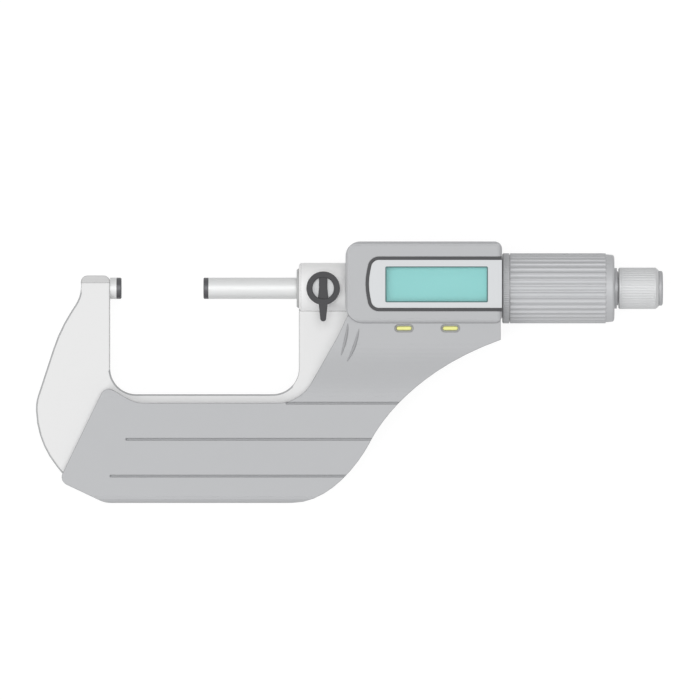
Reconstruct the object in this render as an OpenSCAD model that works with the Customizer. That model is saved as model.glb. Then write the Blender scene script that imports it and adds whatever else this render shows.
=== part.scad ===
// Digital outside micrometer, 25 to 50 mm, lying on its back with the display up.
// Millimetres. The origin is the middle of the anvil's measuring face.
// X runs along the spindle towards the thimble, Y towards the top of the display, Z out of the display.

/* [Measuring line] */
// Smallest distance between the measuring faces
measure_min = 25; // [15:0.5:30]
// Travel of the spindle
travel = 25; // [10:0.5:25]
// Diameter of the anvil and the spindle
spindle_d = 6.5; // [6:0.1:7]
// Length of the anvil that shows
anvil_len = 3.5; // [2:0.1:5]
// Length of each carbide tip
tip_len = 1.5; // [0.8:0.1:1.9]
// Diameter of the spindle's threaded length
thread_d = 8; // [7.6:0.1:9]

/* [Frame] */
// Distance from the anvil arm to the spindle hub
throat_w = 57.6; // [55.6:0.1:58.6]
// Depth of the throat below the measuring line
throat_depth = 32.3; // [30:0.1:33]
// Radius of the throat's lower corners
throat_r = 8; // [5:0.5:10]
// Thickness of the frame plate
frame_t = 7; // [6:0.1:8]
// Diameter of the spindle hub
hub_d = 15.5; // [14:0.1:16.5]
// Length of hub that shows between the throat and the housing
hub_len = 14.2; // [13.6:0.1:15]

/* [Covers] */
// Front face of the grip above the measuring line
grip_front = 7.2; // [6.6:0.1:8.2]
// Front face of the deck that carries the buttons
deck_front = 13; // [12.8:0.1:13.6]
// Back face of both covers below the measuring line
back_depth = 11.2; // [11:0.1:12.5]
// Wall of both covers
wall = 1.8; // [1.4:0.1:2]
// Radius on the grip's foot
grip_edge = 2; // [1:0.1:2.4]
// Radius on the long edges of the back
back_edge = 1.5; // [1:0.1:2]
// Width of a grip groove
groove_w = 0.6; // [0.4:0.05:1]
// Depth of a grip groove
groove_depth = 0.6; // [0.3:0.05:0.9]

/* [Display] */
// Length of the display housing
housing_w = 47.6; // [47:0.1:48.6]
// Top edge of the display housing above the measuring line
housing_top = 14.2; // [13.6:0.1:16]
// Lower edge of the display housing below the measuring line
housing_low = 10.6; // [10.4:0.1:10.8]
// Front face of the display housing
housing_front = 14.5; // [14.2:0.1:15.5]
// Radius on the edges of the display housing
housing_edge = 1.3; // [0.8:0.1:1.8]
// Width of the dark border round the display panel
border_w = 0.95; // [0.6:0.05:1.3]
// Width of the display window
window_w = 30.8; // [28:0.1:31.4]
// Height of the display window
window_h = 10.5; // [9:0.1:11.5]
// Length of a button
button_l = 4.6; // [4:0.1:5.4]
// Height of a button
button_h = 1.2; // [1.1:0.1:1.6]
// Travel of a button
button_travel = 0.4; // [0.2:0.05:0.42]

/* [Thimble and ratchet] */
// Diameter of the thimble
thimble_d = 21.4; // [20.6:0.1:21.8]
// Length of the thimble
thimble_len = 34.1; // [33:0.1:36]
// Diameter of the graduated sleeve
sleeve_d = 18; // [17.4:0.1:18.4]
// Number of flutes round the thimble
flutes = 36; // [24:1:40]
// Depth of a flute
flute_depth = 0.35; // [0.2:0.05:0.5]
// Diameter of the ratchet knob
knob_d = 12.6; // [11.8:0.1:13]
// Length of the ratchet knob
knob_len = 12.3; // [10:0.1:14]
// Number of fine ribs round the ratchet knob
knob_ribs = 44; // [30:1:50]
// Diameter of the ratchet's end cap
cap_d = 10.6; // [9.8:0.1:11]

/* [Lock and battery] */
// Outer diameter of the lock lever's ring
lever_d = 10.2; // [9.6:0.1:10.8]
// Reach of the lock lever from its axis
lever_reach = 10.1; // [9:0.1:12]
// Diameter of the button cell
cell_d = 11.6; // [9.5:0.1:12]
// Height of the button cell
cell_h = 5.4; // [3.6:0.1:5.4]

/* [Hidden] */

$fn = 64;
fit = 0.05;
slack = 0.1;
lap = 0.3;
overrun = 1;
arc_step = 7.5;
roll_steps = 3;
rise_steps = 12;
spindle_r = spindle_d / 2;
thread_r = thread_d / 2;

// Stations along the measuring line
arm_x = -anvil_len;
hub_x = arm_x + throat_w;
housing_x = hub_x + hub_len;
housing_end = housing_x + housing_w;
hub_end = housing_x + 0.246 * housing_w;
boss_x = housing_x + 0.624 * housing_w;
boss_end = housing_end - 2.5;
spindle_x = measure_min;
thimble_x = housing_end + 0.2;
thimble_end = thimble_x + thimble_len;
thimble_wall = 3;
taper_x = thimble_end - thimble_wall;
sleeve_end = taper_x - 2.6;
nut_x = sleeve_end - 16;
nut_seat_x = sleeve_end - 8;
neck_w = 1.2;
knob_x = thimble_end + neck_w;
knob_end = knob_x + knob_len;
cap_w = 1.3;

// Heights and radii that several pieces share
half_t = frame_t / 2;
hub_r = hub_d / 2;
bush_r = 5;
boss_r = 8.6;
inner_r = 7;
sleeve_bore_r = thread_r + 1.2;
sleeve_r = sleeve_d / 2;
sleeve_wall = 0.8;
thimble_r = thimble_d / 2;
thimble_bore_r = sleeve_r + 0.15;
back_in = back_depth - wall;
housing_in = housing_front - wall;
deck_in = deck_front - wall;

// Anvil arm and hub
arm_w = 8.9;
arm_top = 3.9;
arm_round = 2;
arm_bevel = 2.2;
anvil_shank = 7;
shank_r = 2.5;
tip_edge = 0.25;
hub_edge = 0.6;
seal_w = 0.7;
seal_r = 6;
seal_edge = 0.4;
seal_in = 1.1;

// The frame's back bows out behind the anvil arm, and the plate stays this far inside the covers
bow_out = 22.6;
frame_margin = 3;
seat_end = boss_end - 0.5;
seat_x = boss_x + 0.5;
seat_low = -4;

// The grip: its top edge below the throat, its foot, and where its front face climbs to the deck
grip_top = -throat_depth - 2.7;
foot_y = -throat_depth - 33.1;
grip_corner = 2.6;
tuck = 2.2;
rise_low = -throat_depth - 0.7;
rise_high = -housing_low - 6.4;
grip_lines = [[hub_x - 3.9, grip_top], [arm_x + 4.9, foot_y + 19.4], [arm_x + 0.1, foot_y + 8.2]];

// Display: the window stands between the two ends of the housing
window_x = housing_x + 0.732 * (housing_w - window_w);
window_y = -4.1;
window_top = window_y + window_h;
border_rise = 3.2;
border_drop = 2.9;
border_x = housing_x + 5.7;
panel_t = 0.8;
panel_floor = housing_front - panel_t - slack;
lcd_t = 1.6;
lcd_lap = 1;
lcd_low = housing_in - fit - lcd_t;

// Circuit board, and the posts that hold it: each is [x, y]
board_t = 0.8;
board_top = boss_r + board_t + 0.2;
board_post_r = 1.6;
board_screw_r = 0.8;
board_screw_len = 1.2;
button_y = -(housing_low + 1.6);
button_xs = [housing_x + 0.374 * housing_w, housing_x + 0.67 * housing_w];
board_from = [window_x - 4.7, -housing_low - 4.4];
board_end = boss_end - 1.4;
board_posts = [[window_x - 2.9, 4], [window_x - 2.9, button_y - 0.4], [housing_end - 5.4, button_y - 0.6]];

// Buttons and the switches under them
button_dish = 0.6;
button_room = 1.1;
button_crown = 1.2;
button_skirt = 0.65;
button_low = deck_in - button_skirt;
switch_size = [4.4, 2.4, 0.25];
switch_r = 0.8;
switch_top = button_low - button_travel - fit;

// Rotary sensor round the spindle
rotor_r = 8.2;
rotor_bush_r = 4.2;
rotor_x = hub_end + 4;
rotor_end = boss_x - 2.2;
disc_t = 0.9;
stator_t = 1.55;
key_x = (hub_end + boss_x) / 2;
key_r = 0.5;
key_depth = 0.8;
key_reach = 1.5;

// Spindle, thimble and ratchet
thread_x = boss_x + 1;
tail_r = 3.1;
tail_bore = 12;
tail_short = 0.4;
hub_shank_r = 2.2;
thimble_collar = 2.1;
collar_edge = 0.25;
flute_r = 1;
end_collar = 2.9;
knob_r = knob_d / 2;
knob_bore_r = 5;
knob_end_wall = 1.8;
knob_chamfer = 0.9;
knob_recess = 0.8;
rib_r = 0.3;
rib_depth = 0.1;
flange_r = knob_r - 0.1;
flange_neck_r = 5.2;
flange_neck = 0.4;
ratchet_screw_r = 1.4;
ratchet_screw_in = 4.5;
screw_cap_r = 2.6;
screw_cap_t = 0.7;
slot_w = 0.6;
ratchet_disc_t = 1.55;
cap_spigot_r = 4.2;
cap_spigot_bore_r = 2.8;
spring_wire_r = 0.45;
spring_r = 3.3;
spring_turns = 4.5;
spring_steps = 14;
spring_sides = 8;

// Lock
lock_x = hub_x + 7.4;
lock_seat = hub_r + 0.75;
lock_post_r = lever_d / 2 - lap;
lever_low = lock_seat + slack;
lever_t = 2.4;
lever_eye_r = 3.35;
lever_bar_t = 1;
lever_tip_r = 0.9;
bolt_r = 2;
bolt_head = 1.3;
bolt_slot = 0.95;
shoe_top = spindle_r + 1.3;
shoe_dip = 0.6;

// Screws through the covers: each post is [x, y]
post_r = 2.4;
screw_r = 1;
screw_head_r = 1.9;
screw_head_h = 1.3;
screw_sunk = 0.2;
screw_end = 5.6;
hex_r = 0.8;
hex_depth = 0.7;
plate_screws = [[arm_x - 4.5, foot_y + 13.4], [hub_x - 8.1, foot_y + 10.4], [housing_x - 1.3, -throat_depth + 1.3]];
cover_posts = concat(plate_screws, [[housing_x + 6, housing_top - 2.8], [housing_end - 5, housing_top - 2.8]]);

// Battery compartment
cell_at = [housing_x + 0.277 * housing_w, -housing_low - 10];
cell_gap = 0.15;
holder_r = cell_d / 2 + 1.5;
holder_top = 2.7;
cap_r = 8;
cap_plug_r = 7;
cap_rim = 1.4;
cap_slot = [10, 1.5, 0.8];
cap_ledge = -back_depth + 1.6;
cap_inside = -back_in + 1;
cell_top = cap_inside + cell_h;
cell_rim = 0.4;
cell_can = 1.2;
seal_t = 0.35;
leaf_t = 0.25;
leaf_rise = 1.15;
lead_r = 0.35;
lead_out = 1.05;
lead_down = 4;
function lead_at(side) = [cell_at.x + side, cell_at.y + cell_d / 2 + lead_out];

// Outline helpers: a corner is [x, y, radius], and every outline runs anticlockwise
function unit(v) = v / norm(v);
function corner_arc(before, corner, after) =
    let (
        p = [corner.x, corner.y],
        u = unit([before.x, before.y] - p),
        v = unit([after.x, after.y] - p),
        half = acos(max(-1, min(1, u * v))) / 2,
        middle = p + unit(u + v) * corner.z / sin(half),
        first = p + u * corner.z / tan(half) - middle,
        turn = (180 - 2 * half) * sign(u.x * v.y - u.y * v.x) * -1,
        steps = max(1, ceil(abs(turn) / arc_step)),
        start = atan2(first.y, first.x)
    )
    [for (k = [0:steps]) middle + corner.z * [cos(start + turn * k / steps), sin(start + turn * k / steps)]];
function rounded(corners) =
    let (n = len(corners))
    [for (i = [0:n - 1]) each corners[i].z > 0
        ? corner_arc(corners[(i + n - 1) % n], corners[i], corners[(i + 1) % n])
        : [[corners[i].x, corners[i].y]]];
function bezier(a, b, c, d, steps) =
    [for (k = [0:steps]) let (t = k / steps, s = 1 - t)
        s * s * s * a + 3 * s * s * t * b + 3 * s * t * t * c + t * t * t * d];
function left_of(v) = [-v.y, v.x];
function inset(points, depth) =
    let (n = len(points))
    [for (i = [0:n - 1]) let (
        p = points[i],
        a = left_of(unit(p - points[(i + n - 1) % n])),
        b = left_of(unit(points[(i + 1) % n] - p)))
        p + (a + b) * depth / (1 + a * b)];

// The curved underside from the foot of the grip up to the thimble end of the housing.
// Each handle of a curve is a share of the distance that the curve spans.
neck_start = [hub_x - 2.2, foot_y];
neck_mid = [housing_x + 7.2, foot_y + 18];
neck_end = [housing_end - 0.4, -housing_low - 5.1];
neck_rise = 60.9;
neck_end_rise = 19.7;
foot_span = norm(neck_mid - neck_start);
neck_span = norm(neck_end - neck_mid);
function heading(angle) = [cos(angle), sin(angle)];
foot_curve = bezier(neck_start, neck_start + [0.35 * foot_span, 0],
    neck_mid - 0.32 * foot_span * heading(neck_rise), neck_mid, 9);
neck_curve = bezier(neck_mid, neck_mid + 0.01 * neck_span * heading(neck_rise),
    neck_end - 0.645 * neck_span * heading(neck_end_rise), neck_end, 16);
neck = concat(foot_curve, [for (i = [1:len(neck_curve) - 1]) neck_curve[i]]);
neck_inner = inset(neck, frame_margin);

// The grip's outline, up to where it runs in behind the display housing
grip_outline = rounded(concat(
    [
        [arm_x - 1.4, grip_top + 5.4, grip_corner],
        [arm_x - 15.5, foot_y + 6.7, grip_corner],
        [arm_x - 1.4, foot_y, 8]
    ],
    [for (p = neck) [p.x, p.y, 0]],
    [
        [neck_end.x, -housing_low + tuck, 0],
        [housing_x + 0.6, -housing_low + tuck, 0],
        [housing_x - 2.5, -housing_low - 4.3, 20],
        [hub_x + 0.3, grip_top, 12],
        [arm_x + 7.8, grip_top, 10]
    ]));

housing_outline = rounded([
    [housing_x, housing_top, 4.5],
    [housing_x, -housing_low, 5.5],
    [housing_end, -housing_low, 2.3],
    [housing_end, housing_top, 2.3]
]);

// The frame plate: anvil arm, bowed back, foot, neck, the seats for both bosses and the throat
frame_outline = rounded(concat(
    [
        [arm_x, arm_top, arm_round],
        [arm_x - arm_w, arm_top, arm_round],
        [arm_x - arm_w + 0.2, -2.3, 10.6],
        [arm_x - 0.673 * bow_out, -0.378 * throat_depth, 49],
        [arm_x - bow_out, -throat_depth - 2.5, 11.8],
        [arm_x - 0.982 * bow_out, -throat_depth - 14.7, 28],
        [arm_x - 0.588 * bow_out, foot_y + 7.5, 3],
        [arm_x - 0.7, foot_y + frame_margin, 6]
    ],
    [for (i = [1:len(neck_inner) - 2]) if (neck_inner[i].x < seat_end - 0.5) [neck_inner[i].x, neck_inner[i].y, 0]],
    [
        [seat_end, neck_end.y + frame_margin, 0],
        [seat_end, seat_low, 0],
        [seat_x, seat_low, 0],
        [seat_x, -boss_r - 2, 1],
        [hub_end - 0.5, -boss_r - 2, 1],
        [hub_end - 0.5, seat_low, 0],
        [hub_x, seat_low, 0],
        [hub_x, -throat_depth, throat_r],
        [arm_x, -throat_depth, throat_r]
    ]));

// The dark border's outline: a full bow at the left, running out at the thimble end
border_outline = rounded([
    [housing_end + overrun, window_top + border_rise, 0],
    [border_x + 1.7, window_top + border_rise, 3.4],
    [border_x, window_y + window_h / 2 + 0.1, 20],
    [border_x + 1.7, window_y - border_drop, 3.4],
    [housing_end + overrun, window_y - border_drop, 0]
]);
panel_outline = inset(border_outline, border_w);

// The front face climbs from the grip to the deck in a soft S
function smooth(t) = let (s = max(0, min(1, t))) s * s * (3 - 2 * s);
function front_z(y) = grip_front + (deck_front - grip_front) * smooth((y - rise_low) / (rise_high - rise_low));

// A solid through rings of points, for the coil spring
module loft(rings) {
    n = len(rings[0]);
    last = (len(rings) - 1) * n;
    polyhedron(
        points = [for (r = rings) each r],
        faces = concat(
            [[for (i = [0:n - 1]) i]],
            [for (j = [0:len(rings) - 2], i = [0:n - 1]) let (k = (i + 1) % n)
                [j * n + i, (j + 1) * n + i, (j + 1) * n + k, j * n + k]],
            [[for (i = [n - 1:-1:0]) last + i]]));
}

// Turned pieces: a profile is a list of [station along X, radius]
module turned(profile) {
    rotate([0, 90, 0]) rotate_extrude() polygon([for (p = profile) [p.y, p.x]]);
}
module rod(x0, x1, r) {
    translate([x0, 0, 0]) rotate([0, 90, 0]) cylinder(r = r, h = x1 - x0);
}
module tube(x0, x1, r_out, r_in) {
    turned([[x0, r_in], [x0, r_out], [x1, r_out], [x1, r_in]]);
}
module post(at, z0, z1, r) {
    translate([at.x, at.y, z0]) cylinder(r = r, h = z1 - z0);
}
module stadium(at, l, h, z0, z1) {
    translate([at.x, at.y, z0]) linear_extrude(z1 - z0) {
        square([l - h, h], center = true);
        for (side = [-1, 1]) translate([side * (l - h) / 2, 0]) circle(d = h);
    }
}
module sheet(outline, z0, z1) {
    translate([0, 0, z0]) linear_extrude(z1 - z0) polygon(outline);
}
module box(from, to) {
    translate(from) cube(to - from);
}

// Section shapes: drawn as [y, z] and run along X, or drawn as [x, z] and run along Y
far = 3 * throat_w;
module along_x(section) {
    translate([-far, 0, 0]) rotate([90, 0, 90]) linear_extrude(2 * far) polygon(section);
}
module along_y(section) {
    translate([0, far, 0]) rotate([90, 0, 0]) linear_extrude(2 * far) polygon(section);
}
function rolled_edge(at, r, start, turn = -90) =
    [for (k = [0:roll_steps]) at + r * heading(start + turn * k / roll_steps)];
function thinned(r, depth) = max(r - depth, 0.2);

// Under the grip's front face: rolled at the foot, climbing to the deck
module under_front(depth) {
    r = thinned(grip_edge, depth);
    low = foot_y + depth;
    rise = [for (k = [0:rise_steps]) let (y = rise_low + (rise_high - rise_low) * k / rise_steps) [y, front_z(y) - depth]];
    along_x(concat([[low, -overrun]], rolled_edge([low + r, grip_front - depth - r], r, 180), rise,
        [[0, deck_front - depth], [0, -overrun]]));
}
// Under the housing's front face, with its long edges rolled, and then its ends
module under_housing(depth) {
    r = thinned(housing_edge, depth);
    low = -housing_low + depth;
    high = housing_top - depth;
    top = housing_front - depth;
    along_x(concat([[low, -overrun]], rolled_edge([low + r, top - r], r, 180), rolled_edge([high - r, top - r], r, 90),
        [[high, -overrun]]));
}
module between_ends(depth) {
    r = thinned(housing_edge, depth);
    low = housing_x + depth;
    high = housing_end - depth;
    top = housing_front - depth;
    along_y(concat([[low, -overrun]], rolled_edge([low + r, top - r], r, 180), rolled_edge([high - r, top - r], r, 90),
        [[high, -overrun]]));
}
// Above the back face, with the foot, the top of the housing and its thimble end rolled
module over_back(depth) {
    r = thinned(back_edge, depth);
    low = foot_y + depth;
    high = housing_top - depth;
    back = -back_depth + depth;
    along_x(concat([[low, 2 * overrun]], rolled_edge([low + r, back + r], r, 180, 90),
        rolled_edge([high - r, back + r], r, -90, 90), [[high, 2 * overrun]]));
}
module before_end(depth) {
    r = thinned(back_edge, depth);
    high = housing_end - depth;
    back = -back_depth + depth;
    along_y(concat([[-far, 2 * overrun], [-far, back]], rolled_edge([high - r, back + r], r, -90, 90),
        [[high, 2 * overrun]]));
}
// What the covers leave free for the frame, the hub and the sleeve
module frame_room() {
    translate([0, 0, -half_t - slack]) linear_extrude(frame_t + 2 * slack) polygon(inset(frame_outline, -slack));
    rod(hub_x, hub_end + overrun, hub_r + slack);
    rod(boss_end, housing_end + overrun, sleeve_r + slack);
}

module frame() {
    color("#e7e7e5") difference() {
        union() {
            sheet(frame_outline, -half_t, half_t);
            turned([[hub_x, 0], [hub_x, hub_r - hub_edge], [hub_x + hub_edge, hub_r], [hub_end, hub_r], [hub_end, 0]]);
            rod(boss_x, boss_end, boss_r);
            post([lock_x, 0], 0, lock_seat, lock_post_r);
        }
        rod(hub_x - overrun, hub_end + overrun, bush_r);
        rod(boss_x - overrun, boss_end + overrun, inner_r);
        rod(arm_x - anvil_shank, arm_x + overrun, shank_r);
        post([lock_x, 0], 0, lock_seat + overrun, bolt_r + fit);
        post(cell_at, -half_t - overrun, half_t + overrun, holder_r + slack);
        for (at = plate_screws) post(at, -half_t - overrun, half_t + overrun, post_r + 0.5);
        for (side = [-1, 1]) translate([arm_x - arm_w / 2, arm_top, side * half_t]) rotate([45, 0, 0])
            cube([2 * arm_w, arm_bevel * sqrt(2), arm_bevel * sqrt(2)], center = true);
    }
}
module anvil() {
    color("#d9dadb") turned([[arm_x - anvil_shank, 0], [arm_x - anvil_shank, shank_r - fit], [arm_x, shank_r - fit],
        [arm_x, spindle_r], [-tip_len, spindle_r], [-tip_len, 0]]);
}
module anvil_tip() {
    color("#58585b") turned([[-tip_len, 0], [-tip_len, spindle_r], [-tip_edge, spindle_r], [0, spindle_r - tip_edge],
        [0, 0]]);
}
module spindle_bush() {
    color("#b99a5b") difference() {
        tube(hub_x + seal_in + slack, rotor_x - slack, bush_r - fit, spindle_r + fit);
        post([lock_x, 0], 0, bush_r + overrun, bolt_r + fit);
    }
}
module spindle_seal() {
    bore = spindle_r + fit;
    color("#c9cacb") turned([[hub_x - seal_w, bore], [hub_x - seal_w, seal_r - seal_edge],
        [hub_x - seal_w + seal_edge, seal_r], [hub_x, seal_r], [hub_x, bush_r - lap], [hub_x + seal_in, bush_r - lap],
        [hub_x + seal_in, bore]]);
}

// Outer form of the front cover, or its hollow when a wall is taken off
module front_form(depth) {
    start = depth > 0 ? -overrun : 0;
    intersection() {
        sheet(inset(grip_outline, depth), start, deck_front);
        under_front(depth);
    }
    intersection() {
        sheet(inset(housing_outline, depth), start, housing_front);
        under_housing(depth);
        between_ends(depth);
    }
    if (depth > 0) box([housing_x + 6, -housing_low - overrun, start],
        [neck_end.x - depth, -housing_low + depth + overrun, deck_front - depth]);
}
module rear_form(depth) {
    top = depth > 0 ? overrun : 0;
    intersection() {
        translate([0, 0, -back_depth + depth]) linear_extrude(back_depth - depth + top) {
            polygon(inset(grip_outline, depth));
            polygon(inset(housing_outline, depth));
            if (depth > 0) translate([housing_x + 6, -housing_low - overrun])
                square([neck_end.x - depth - housing_x - 6, depth + 2 * overrun]);
        }
        over_back(depth);
        before_end(depth);
    }
}
module groove(line, from_z, to_z) {
    box([line.x, line.y - groove_w / 2, from_z], [line.x + far, line.y + groove_w / 2, to_z]);
}
module front_cover() {
    color("#bebfc1") difference() {
        union() {
            difference() {
                front_form(0);
                front_form(wall);
                frame_room();
            }
            for (at = cover_posts) post(at, slack, at.y > 0 ? housing_in + lap : front_z(at.y) - wall + lap, post_r);
            for (at = board_posts) post(at, board_top, at.y > -housing_low ? housing_in + lap : deck_in + lap, board_post_r);
        }
        sheet(border_outline, panel_floor, housing_front + overrun);
        box([window_x - slack, window_y - slack, deck_in], [window_x + window_w + slack, window_top + slack, housing_front]);
        for (at = cover_posts) post(at, -overrun, front_z(at.y) - wall - 0.6, screw_r);
        for (at = board_posts) post(at, board_top - overrun, board_top + board_screw_len + 0.2, board_screw_r);
        for (x = button_xs) {
            stadium([x, button_y], button_l + button_room, button_h + button_room, deck_front - button_dish, deck_front + overrun);
            stadium([x, button_y], button_l + 2 * fit, button_h + 2 * fit, deck_in - overrun, deck_front);
        }
        for (line = grip_lines) groove(line, grip_front - groove_depth, deck_front + overrun);
    }
}
module rear_cover() {
    color("#bebfc1") difference() {
        union() {
            difference() {
                rear_form(0);
                rear_form(wall);
                frame_room();
            }
            for (at = cover_posts) post(at, -back_in - lap, 0, post_r);
            post(cell_at, -back_in - lap, cap_inside, cap_r + cap_rim);
        }
        for (at = cover_posts) {
            post(at, -back_depth - overrun, overrun, screw_r + 0.15);
            post(at, -back_depth - overrun, -back_depth + screw_head_h + screw_sunk, screw_head_r + 0.2);
        }
        post(cell_at, -back_depth - overrun, cap_ledge, cap_r + fit);
        post(cell_at, -back_depth - overrun, cap_inside + overrun, cap_plug_r + fit);
        for (line = grip_lines) groove(line, -back_depth - overrun, -back_depth + groove_depth);
    }
}
module cover_screws() {
    low = -back_depth + screw_sunk;
    color("#8d8e90") for (at = cover_posts) difference() {
        union() {
            post(at, low, low + screw_head_h, screw_head_r);
            post(at, low, min(screw_end, front_z(at.y) - wall - 0.7), screw_r - fit);
        }
        post(at, low - overrun, low + hex_depth, hex_r, $fn = 6);
    }
}

// What is cut away past the end of the housing
module past_end() {
    box([housing_end - fit, -housing_low, 0], [housing_end + far, housing_top, housing_front + overrun]);
}
module display_border() {
    color("#5a5a5c") difference() {
        sheet(border_outline, panel_floor, housing_front);
        sheet(panel_outline, panel_floor - overrun, housing_front + overrun);
        past_end();
    }
}
module display_panel() {
    color("#dedfe2") difference() {
        sheet(inset(panel_outline, fit), panel_floor, panel_floor + panel_t);
        past_end();
        box([window_x, window_y, 0], [window_x + window_w, window_top, housing_front + overrun]);
    }
}
module display_window() {
    color("#cfeeee") box([window_x + fit, window_y + fit, housing_in + fit],
        [window_x + window_w - fit, window_top - fit, panel_floor + panel_t]);
}
module lcd() {
    color("#8ecfcc") box([window_x - lcd_lap, window_y - lcd_lap, lcd_low],
        [window_x + window_w + lcd_lap, window_top + lcd_lap, housing_in - fit]);
}
module contact_strips() {
    color("#3a3a3c") for (y = [window_y - 0.8, window_top - 0.4])
        box([window_x + 1.5, y, board_top], [window_x + window_w - 1.5, y + 1.2, lcd_low]);
}
module circuit_board() {
    color("#2f6b4a") difference() {
        box([board_from.x, board_from.y, board_top - board_t], [board_end, window_top + lcd_lap, board_top]);
        for (at = board_posts) post(at, 0, board_top + overrun, board_screw_r + 0.2);
        for (side = [-1, 1]) post(lead_at(side), 0, board_top + overrun, lead_r + fit);
    }
}
module board_screws() {
    color("#8d8e90") for (at = board_posts) {
        post(at, board_top - board_t - 0.6, board_top - board_t, board_screw_r + 0.6);
        post(at, board_top - board_t - slack, board_top + board_screw_len, board_screw_r - fit);
    }
}
module button_switches() {
    color("#2a2a2c") for (x = button_xs) {
        translate([x, button_y, board_top + switch_size.z / 2]) cube(switch_size, center = true);
        post([x, button_y], board_top, switch_top, switch_r);
    }
}
module button(x) {
    color("#ebeb8c") {
        intersection() {
            stadium([x, button_y], button_l, button_h, button_low, deck_front + button_crown);
            translate([x - button_l, button_y, deck_front - button_crown]) rotate([0, 90, 0])
                cylinder(r = button_crown, h = 2 * button_l);
        }
        stadium([x, button_y], button_l + 1.6, button_h + 1.4, button_low, deck_in - fit);
    }
}
module button_left() button(button_xs[0]);
module button_right() button(button_xs[1]);

module rotor_bush() {
    color("#a8a9ab") difference() {
        tube(rotor_x, rotor_end, rotor_bush_r, spindle_r + fit);
        post([key_x, 0], 0, rotor_bush_r + overrun, key_r);
    }
}
module rotor_key() {
    color("#6f7072") intersection() {
        post([key_x, 0], spindle_r - key_depth + 0.15, rotor_bush_r + overrun, key_r - 0.01);
        rod(key_x - overrun, key_x + overrun, rotor_bush_r);
    }
}
module rotor_disc() {
    color("#c58a3a") tube(rotor_end - disc_t, rotor_end, rotor_r, rotor_bush_r + 0.02);
}
module stator() {
    color("#2f6b4a") tube(boss_x - fit - stator_t, boss_x - fit, rotor_r, rotor_bush_r + 0.6);
}
module inner_sleeve() {
    outer = sleeve_r - sleeve_wall - fit;
    color("#c4c5c7") turned([[boss_x, sleeve_bore_r], [boss_x, inner_r - fit], [boss_end + fit, inner_r - fit],
        [boss_end + fit, outer], [nut_seat_x, outer], [nut_seat_x, inner_r], [sleeve_end, inner_r],
        [sleeve_end, thread_r + fit], [nut_x, thread_r + fit], [nut_x, sleeve_bore_r]]);
}
module graduated_sleeve() {
    color("#d3d4d6") tube(boss_end + slack, sleeve_end, sleeve_r, sleeve_r - sleeve_wall);
}
module adjusting_nut() {
    notch = [2.4, 1.6, 2];
    color("#9b9c9e") difference() {
        tube(nut_seat_x + slack, sleeve_end - 0.2, sleeve_r - sleeve_wall - 2 * fit, inner_r + fit);
        for (side = [-1, 1]) translate([sleeve_end - 0.2, side * (inner_r + 0.6), 0]) cube(notch, center = true);
    }
}
module spindle() {
    color("#e2e4e3") difference() {
        turned([[spindle_x + tip_len, 0], [spindle_x + tip_len, spindle_r], [thread_x - 1, spindle_r], [thread_x, thread_r],
            [taper_x, thread_r], [thimble_end - tail_short, tail_r], [thimble_end - tail_short, 0]]);
        box([key_x - travel - key_reach, -key_r - fit, spindle_r - key_depth],
            [key_x + key_reach, key_r + fit, spindle_r + overrun]);
        rod(thimble_end - tail_bore, thimble_end + overrun, hub_shank_r);
    }
}
module spindle_tip() {
    color("#58585b") turned([[spindle_x, 0], [spindle_x, spindle_r - tip_edge], [spindle_x + tip_edge, spindle_r],
        [spindle_x + tip_len, spindle_r], [spindle_x + tip_len, 0]]);
}
module thimble() {
    r = thimble_r;
    collar_x = thimble_x + thimble_collar;
    flute_x = collar_x + lap;
    flute_end = thimble_end - end_collar;
    color("#c2c3c5") difference() {
        union() {
            turned([[thimble_x, 0], [thimble_x, r - slack - collar_edge], [thimble_x + collar_edge, r - slack],
                [collar_x, r - slack], [collar_x, 0]]);
            rod(collar_x - lap, flute_x, r - flute_depth - slack);
            translate([flute_x - fit, 0, 0]) rotate([90, 0, 90]) linear_extrude(flute_end - flute_x + lap) fluted_section(r);
            turned([[flute_end, 0], [flute_end, r - 0.3], [thimble_end - 0.6, r - 0.5], [thimble_end - 0.15, r - 0.8],
                [thimble_end, r - 1.3], [thimble_end, 0]]);
        }
        rod(thimble_x - overrun, taper_x, thimble_bore_r);
        turned([[taper_x - overrun, 0], [taper_x - overrun, thread_r + fit], [taper_x, thread_r + fit],
            [thimble_end - tail_short, tail_r + fit], [thimble_end + overrun, tail_r + fit], [thimble_end + overrun, 0]]);
    }
}
module fluted_section(r) {
    difference() {
        circle(r = r);
        for (i = [0:flutes - 1]) rotate(i * 360 / flutes) translate([0, r - flute_depth + flute_r]) circle(r = flute_r);
    }
}
module ratchet_hub() {
    color("#b4b5b7") difference() {
        turned([[thimble_end - tail_bore + 1, 0], [thimble_end - tail_bore + 1, hub_shank_r - fit],
            [thimble_end + fit, hub_shank_r - fit], [thimble_end + fit, flange_r], [knob_x - flange_neck, flange_r],
            [knob_x - flange_neck, flange_neck_r], [knob_x - fit, flange_neck_r], [knob_x - fit, 0]]);
        rod(thimble_end - ratchet_screw_in - 0.5, knob_x + overrun, ratchet_screw_r);
    }
}
module ratchet_screw() {
    head = knob_end - knob_recess + fit;
    color("#8d8e90") difference() {
        turned([[thimble_end - ratchet_screw_in, 0], [thimble_end - ratchet_screw_in, ratchet_screw_r - fit],
            [head, ratchet_screw_r - fit], [head, screw_cap_r], [head + screw_cap_t, screw_cap_r], [head + screw_cap_t, 0]]);
        translate([head + screw_cap_t, 0, 0]) cube([screw_cap_t, slot_w, 3 * screw_cap_r], center = true);
    }
}
module ratchet_disc() {
    color("#7d7e80") tube(knob_x + fit, knob_x + fit + ratchet_disc_t, knob_bore_r - fit, ratchet_screw_r + fit);
}
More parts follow.
